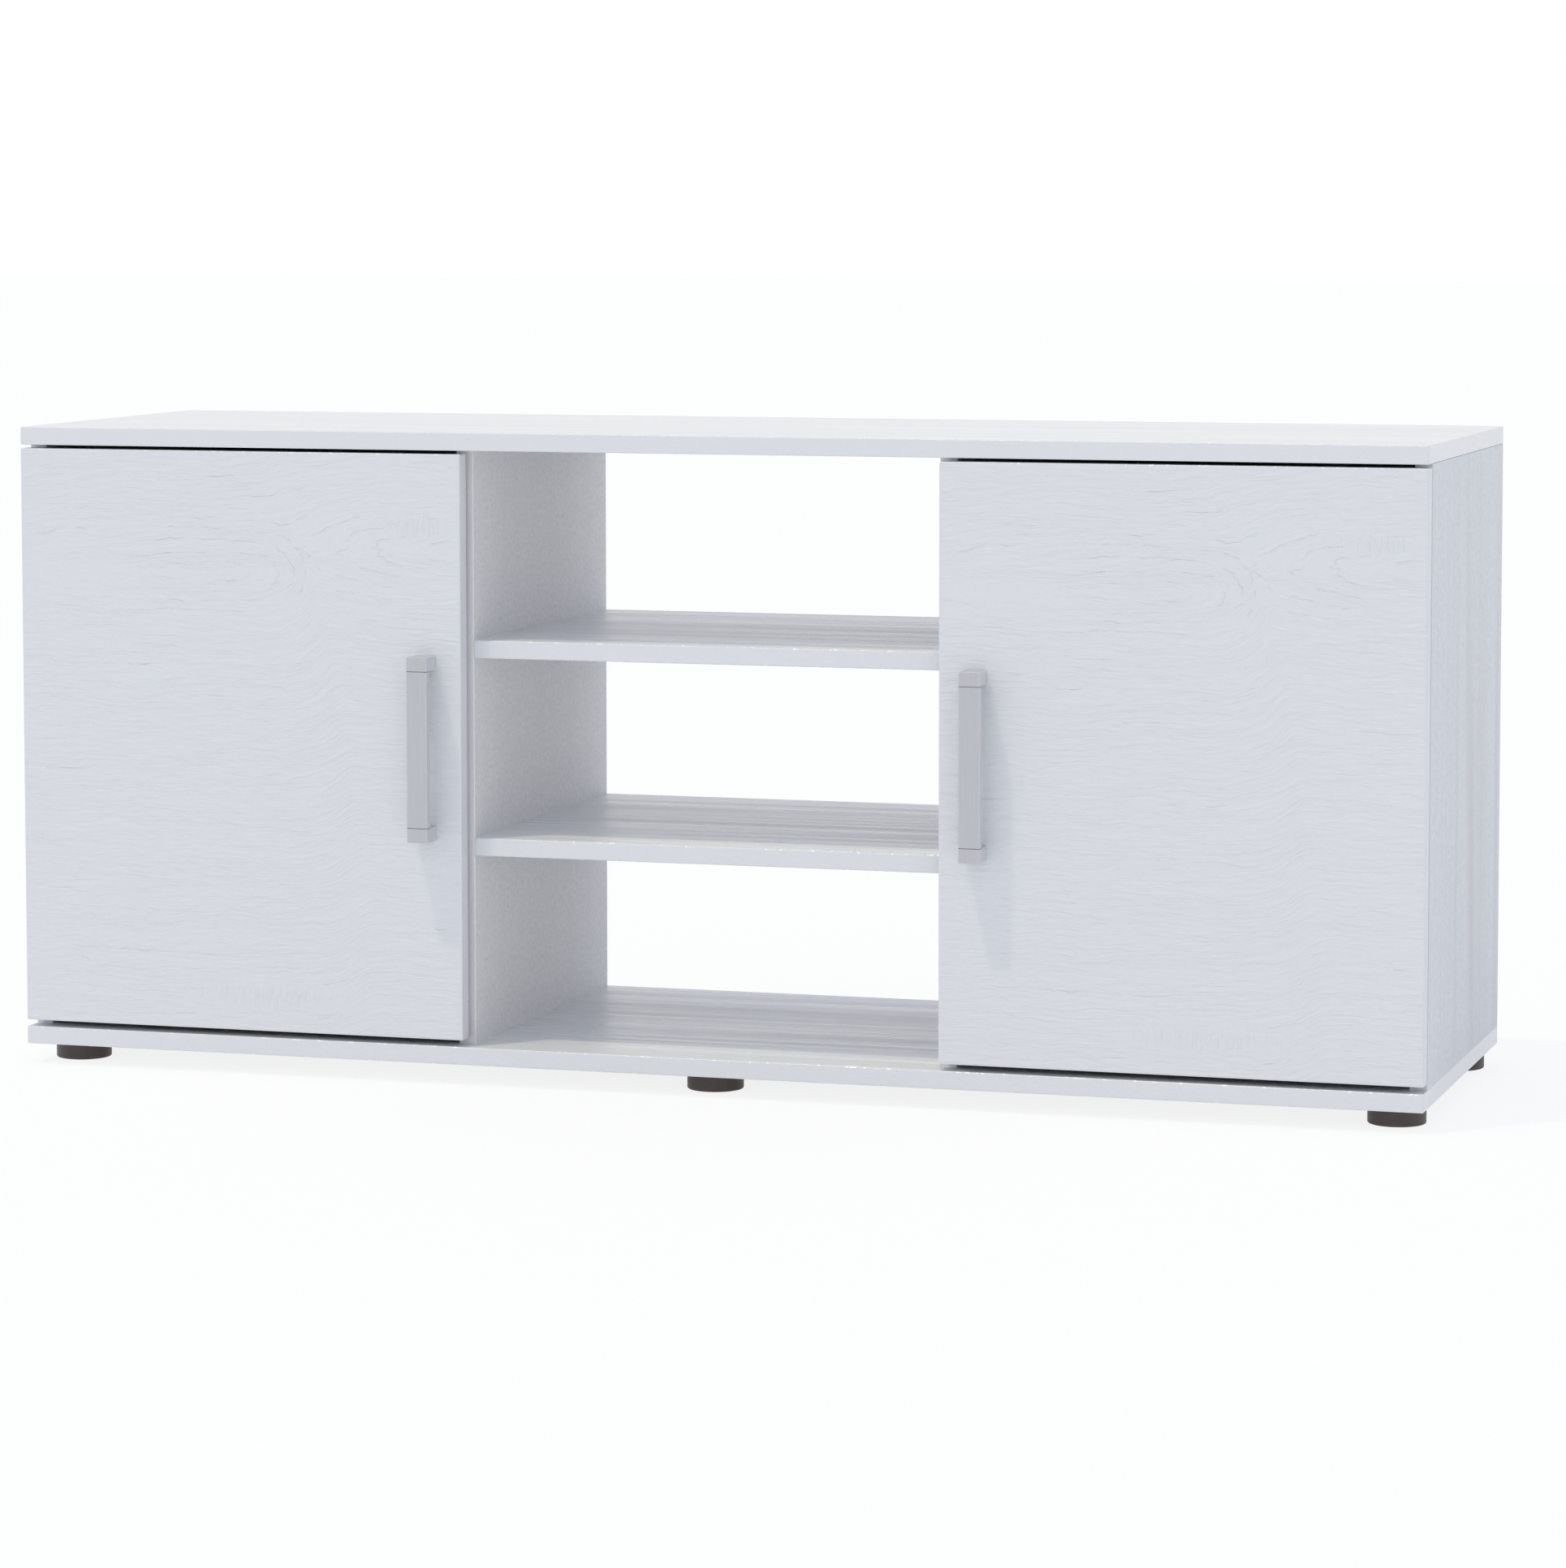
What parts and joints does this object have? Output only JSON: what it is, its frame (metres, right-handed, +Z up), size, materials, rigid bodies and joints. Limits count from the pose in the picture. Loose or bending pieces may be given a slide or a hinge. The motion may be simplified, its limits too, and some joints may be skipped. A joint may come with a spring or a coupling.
{
  "type": "tv stand",
  "caption": "Low white TV stand: cupboards with hinged doors at both ends of an open centre bay with shelves, satin bar handles and short round feet.",
  "frame": {"origin": "centre of the bounding box on the floor, handles included", "axes": "+X along the stand to its right as seen from the front, -Y out of the front, +Z up"},
  "size_m": [1.2, 0.382, 0.543],
  "materials": {
    "white_board": "white melamine on chipboard, fine pressed grain, satin",
    "door_board": "white melamine on chipboard, pressed horizontal wood grain, satin",
    "hardboard": "thin hardboard, painted white",
    "foot_plastic": "dark brown, matte",
    "handle_satin": "satin grey",
    "zinc": "zinc plated",
    "hinge_nickel": "nickel plated",
    "beech": "plain",
    "bumper_clear": "clear, soft"
  },
  "bodies": {
    "carcass": {"top_panel": "white_board", "bottom_panel": "white_board", "left_end_panel": "white_board", "right_end_panel": "white_board", "left_divider": "white_board", "right_divider": "white_board", "upper_bay_shelf": "white_board", "lower_bay_shelf": "white_board", "left_cupboard_shelf": "white_board", "right_cupboard_shelf": "white_board", "left_back_panel": "hardboard", "right_back_panel": "hardboard", "front_left_foot": "foot_plastic", "front_centre_foot": "foot_plastic", "front_right_foot": "foot_plastic", "rear_left_foot": "foot_plastic", "rear_centre_foot": "foot_plastic", "rear_right_foot": "foot_plastic", "cam_locks": "zinc", "cam_bolts": "zinc", "base_screws": "zinc", "bay_shelf_screws": "zinc", "foot_screws": "zinc", "hinge_plate_screws": "zinc", "hinge_arm_screws": "zinc", "shelf_pins": "zinc", "left_upper_hinge_arm": "hinge_nickel", "left_upper_hinge_plate": "hinge_nickel", "left_lower_hinge_arm": "hinge_nickel", "left_lower_hinge_plate": "hinge_nickel", "right_upper_hinge_arm": "hinge_nickel", "right_upper_hinge_plate": "hinge_nickel", "right_lower_hinge_arm": "hinge_nickel", "right_lower_hinge_plate": "hinge_nickel", "wood_dowels": "beech"},
    "left_door": {"left_door": "door_board", "left_handle_bar": "handle_satin", "left_handle_upper_post": "handle_satin", "left_handle_lower_post": "handle_satin", "left_cup_screws": "zinc", "left_hinge_pins": "zinc", "left_handle_screws": "zinc", "left_upper_hinge_cup": "hinge_nickel", "left_lower_hinge_cup": "hinge_nickel", "left_door_bumpers": "bumper_clear"},
    "right_door": {"right_door": "door_board", "right_handle_bar": "handle_satin", "right_handle_upper_post": "handle_satin", "right_handle_lower_post": "handle_satin", "right_cup_screws": "zinc", "right_hinge_pins": "zinc", "right_handle_screws": "zinc", "right_upper_hinge_cup": "hinge_nickel", "right_lower_hinge_cup": "hinge_nickel", "right_door_bumpers": "bumper_clear"}
  },
  "joints": [
    {"name": "left_door_hinge", "type": "hinge", "parent": "carcass", "child": "left_door", "pos_m": [-0.5915, -0.1605, 0.28125], "axis": [0, 0, -1], "range_deg": [0, 95]},
    {"name": "right_door_hinge", "type": "hinge", "parent": "carcass", "child": "right_door", "pos_m": [0.5915, -0.1605, 0.28125], "axis": [0, 0, 1], "range_deg": [0, 95]}
  ]
}
